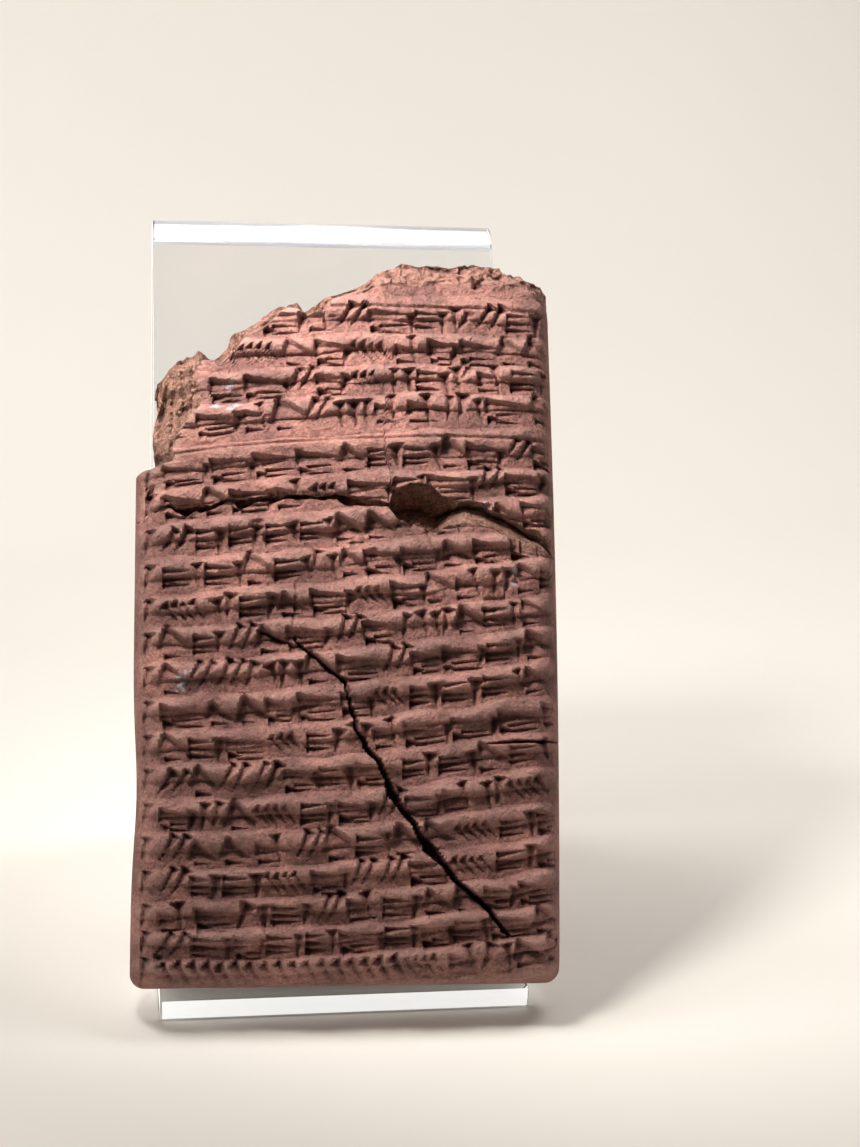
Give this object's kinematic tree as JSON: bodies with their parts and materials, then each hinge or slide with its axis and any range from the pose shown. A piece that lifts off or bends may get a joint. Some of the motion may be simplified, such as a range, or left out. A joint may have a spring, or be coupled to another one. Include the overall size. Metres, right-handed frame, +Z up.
{
  "type": "cuneiform tablet on display stand",
  "caption": "Fired clay tablet with rows of pressed wedge strokes, broken across and chipped, leaning on a bent clear acrylic stand.",
  "frame": {"origin": "middle of the flat underside of the stand's foot, on the surface that the stand stands on", "axes": "+Z up, -Y towards the reader in front of the written face, +X to the reader's right"},
  "size_m": [0.079, 0.1116, 0.1378],
  "materials": {
    "fired_clay": "matte, pitted, unglazed red-brown clay",
    "clear_acrylic": "clear polished sheet"
  },
  "bodies": {
    "root": {"tablet_upper_fragment": "fired_clay", "tablet_lower_fragment": "fired_clay", "acrylic_stand": "clear_acrylic"}
  },
  "joints": []
}
